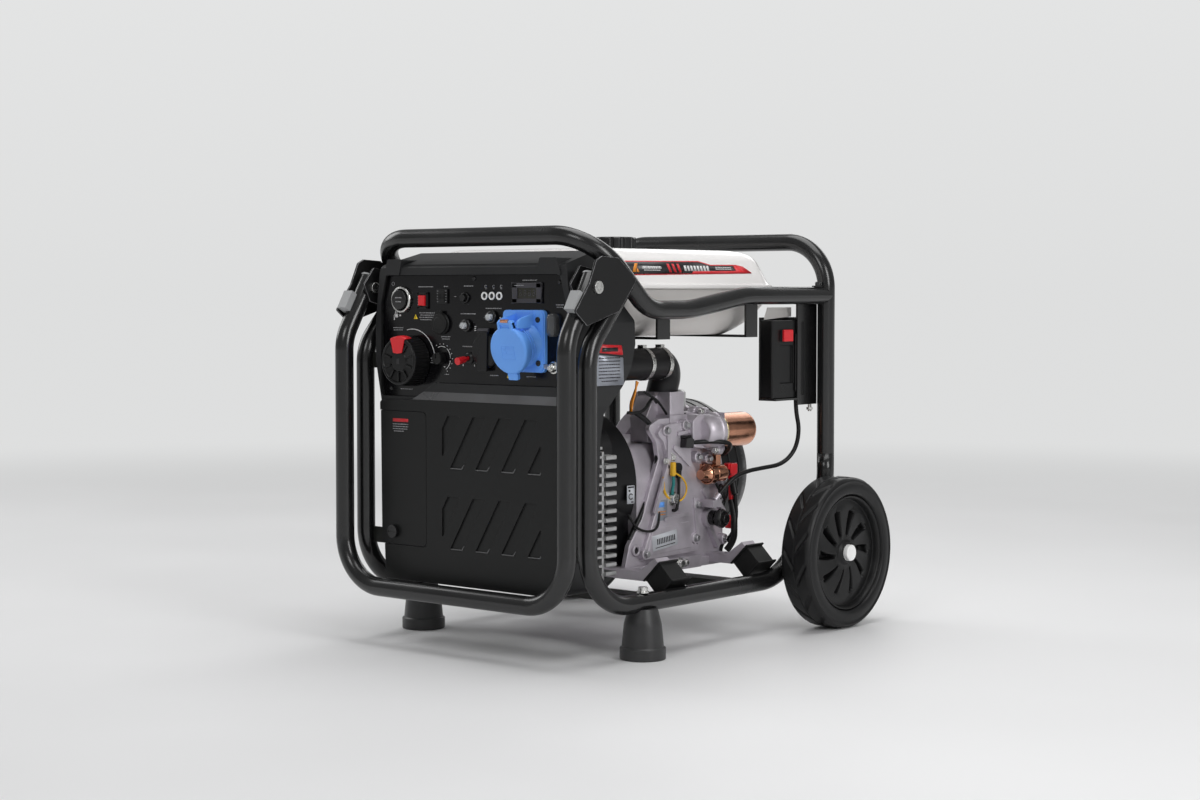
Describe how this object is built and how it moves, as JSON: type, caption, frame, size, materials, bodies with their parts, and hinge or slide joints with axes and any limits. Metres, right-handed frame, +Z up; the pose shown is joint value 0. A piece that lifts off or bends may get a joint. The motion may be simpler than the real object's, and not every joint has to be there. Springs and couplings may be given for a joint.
{
  "type": "engine driven welder",
  "caption": "Open-frame engine driven inverter welder and generator: tubular cage, fuel tank over the engine, front control panel, folding handle, wheels and feet.",
  "frame": {"origin": "on the ground, under the middle of the machine", "axes": "+X to the right as seen from the control panel, +Y from the panel to the wheels, +Z up"},
  "size_m": [0.6032, 0.7392, 0.632],
  "materials": {
    "frame_paint": "satin",
    "bracket_paint": "satin",
    "stop_grey": "matte",
    "tyre": "matte",
    "rim": "satin",
    "cap_white": "gloss",
    "zinc": "satin",
    "foot_rubber": "matte",
    "housing": "satin",
    "panel": "gloss",
    "cover": "satin",
    "fittings": "gloss",
    "knob": "gloss",
    "red": "gloss",
    "button_black": "gloss",
    "clear": "gloss",
    "lamp": "gloss",
    "blue": "satin",
    "tank": "gloss",
    "battery_case": "satin",
    "cable": "satin",
    "cast_alloy": "cast",
    "fin_alloy": "satin",
    "shroud": "satin",
    "copper": "satin",
    "steel": "satin",
    "starter": "satin",
    "mount_rubber": "matte",
    "hose": "satin",
    "muffler_steel": "matte",
    "bed_paint": "satin"
  },
  "bodies": {
    "frame": {"side_frame_right": "frame_paint", "side_frame_left": "frame_paint", "top_hoop": "frame_paint", "rear_hoop": "frame_paint", "crossmembers": "bed_paint", "hinge_brackets": "bracket_paint", "wheel_axles": "zinc", "front_feet": "foot_rubber", "housing": "housing", "control_panel": "panel", "lower_cover": "cover", "panel_fittings": "fittings", "indicator_lamps": "lamp", "schuko_socket": "fittings", "cee_socket": "blue", "dome_cover": "clear", "fuel_tank": "tank", "tank_brackets": "frame_paint", "battery": "battery_case", "battery_tray": "frame_paint", "battery_cable": "cable", "crankcase": "cast_alloy", "cylinder_head": "fin_alloy", "engine_shroud": "shroud", "alternator": "copper", "flywheel_cover": "shroud", "starter_motor": "starter", "carburettor": "cast_alloy", "air_filter": "shroud", "intake_hose": "hose", "muffler": "muffler_steel", "engine_mounts": "mount_rubber", "inverter": "fin_alloy", "wiring": "red", "frame_bolts": "zinc"},
    "handle": {"fold_handle": "frame_paint", "handle_stops": "stop_grey"},
    "wheel_right": {"tyre_right": "tyre", "rim_right": "rim", "hub_cap_right": "cap_white"},
    "wheel_left": {"tyre_left": "tyre", "rim_left": "rim", "hub_cap_left": "cap_white"},
    "knob": {"engine_knob": "knob"},
    "start": {"start_button": "red"},
    "rocker": {"power_rocker": "red"},
    "reset": {"reset_button": "button_black"},
    "breaker_left": {"breaker_button_left": "clear"},
    "breaker_right": {"breaker_button_right": "clear"},
    "charger_cap": {"dc_cap": "fittings"},
    "dial": {"current_dial": "knob"},
    "toggle": {"toggle_lever": "red"},
    "socket_flap": {"schuko_flap": "fittings"},
    "socket_lid": {"cee_lid": "blue"},
    "door": {"service_door": "cover"},
    "latch": {"door_latch": "button_black"},
    "filler_cap": {"fuel_cap": "button_black"},
    "dipstick": {"oil_cap": "button_black"},
    "shaft": {"crankshaft": "steel", "flywheel": "cast_alloy"}
  },
  "joints": [
    {"name": "handle_fold", "type": "hinge", "parent": "frame", "child": "handle", "pos_m": [0, -0.311, 0.543], "axis": [-1, 0, 0], "range_deg": [0, 105]},
    {"name": "wheel_right_spin", "type": "hinge", "parent": "frame", "child": "wheel_right", "pos_m": [0.263, 0.2487, 0.1209], "axis": [1, 0, 0], "continuous": true},
    {"name": "wheel_left_spin", "type": "hinge", "parent": "frame", "child": "wheel_left", "pos_m": [-0.263, 0.2487, 0.1209], "axis": [1, 0, 0], "continuous": true},
    {"name": "knob_turn", "type": "hinge", "parent": "frame", "child": "knob", "pos_m": [-0.1265, -0.308, 0.432], "axis": [0, 1, 0], "range_deg": [0, 90]},
    {"name": "start_press", "type": "slide", "parent": "frame", "child": "start", "axis": [0, 1, 0], "range_m": [0, 0.002], "stiffness_N_per_m": 400},
    {"name": "rocker_rock", "type": "hinge", "parent": "frame", "child": "rocker", "pos_m": [-0.102, -0.3107, 0.5236], "axis": [1, 0, 0], "range_deg": [-6, 6]},
    {"name": "reset_press", "type": "slide", "parent": "frame", "child": "reset", "axis": [0, 1, 0], "range_m": [0, 0.002], "stiffness_N_per_m": 400},
    {"name": "breaker_left_press", "type": "slide", "parent": "frame", "child": "breaker_left", "axis": [0, 1, 0], "range_m": [0, 0.002], "stiffness_N_per_m": 400},
    {"name": "breaker_right_press", "type": "slide", "parent": "frame", "child": "breaker_right", "axis": [0, 1, 0], "range_m": [0, 0.002], "stiffness_N_per_m": 400},
    {"name": "charger_cap_lift", "type": "hinge", "parent": "frame", "child": "charger_cap", "pos_m": [-0.0639, -0.313, 0.5064], "axis": [-1, 0, 0], "range_deg": [0, 110]},
    {"name": "dial_turn", "type": "hinge", "parent": "frame", "child": "dial", "pos_m": [-0.064, -0.308, 0.437], "axis": [0, 1, 0], "range_deg": [0, 270]},
    {"name": "toggle_throw", "type": "hinge", "parent": "frame", "child": "toggle", "pos_m": [-0.007, -0.31, 0.4384], "axis": [-1, 0, 0], "range_deg": [0, 20]},
    {"name": "socket_flap_lift", "type": "hinge", "parent": "frame", "child": "socket_flap", "pos_m": [0.028, -0.3148, 0.48], "axis": [-1, 0, 0], "range_deg": [0, 110]},
    {"name": "socket_lid_lift", "type": "hinge", "parent": "frame", "child": "socket_lid", "pos_m": [0.1098, -0.35403, 0.4921], "axis": [-1, 0, 0], "range_deg": [0, 100]},
    {"name": "door_swing", "type": "hinge", "parent": "frame", "child": "door", "pos_m": [-0.0886, -0.3178, 0.2535], "axis": [0, 0, 1], "range_deg": [0, 110]},
    {"name": "latch_turn", "type": "hinge", "parent": "door", "child": "latch", "pos_m": [-0.157, -0.3178, 0.171], "axis": [0, -1, 0], "range_deg": [0, 90]},
    {"name": "filler_cap_turn", "type": "hinge", "parent": "frame", "child": "filler_cap", "pos_m": [0, 0.02, 0.602], "axis": [0, 0, 1], "range_deg": [0, 90]},
    {"name": "dipstick_turn", "type": "hinge", "parent": "frame", "child": "dipstick", "pos_m": [0.134, 0.1, 0.178], "axis": [1, 0, 0], "range_deg": [0, 180]},
    {"name": "shaft_spin", "type": "hinge", "parent": "frame", "child": "shaft", "pos_m": [0, 0.09, 0.242], "axis": [0, 1, 0], "continuous": true}
  ]
}
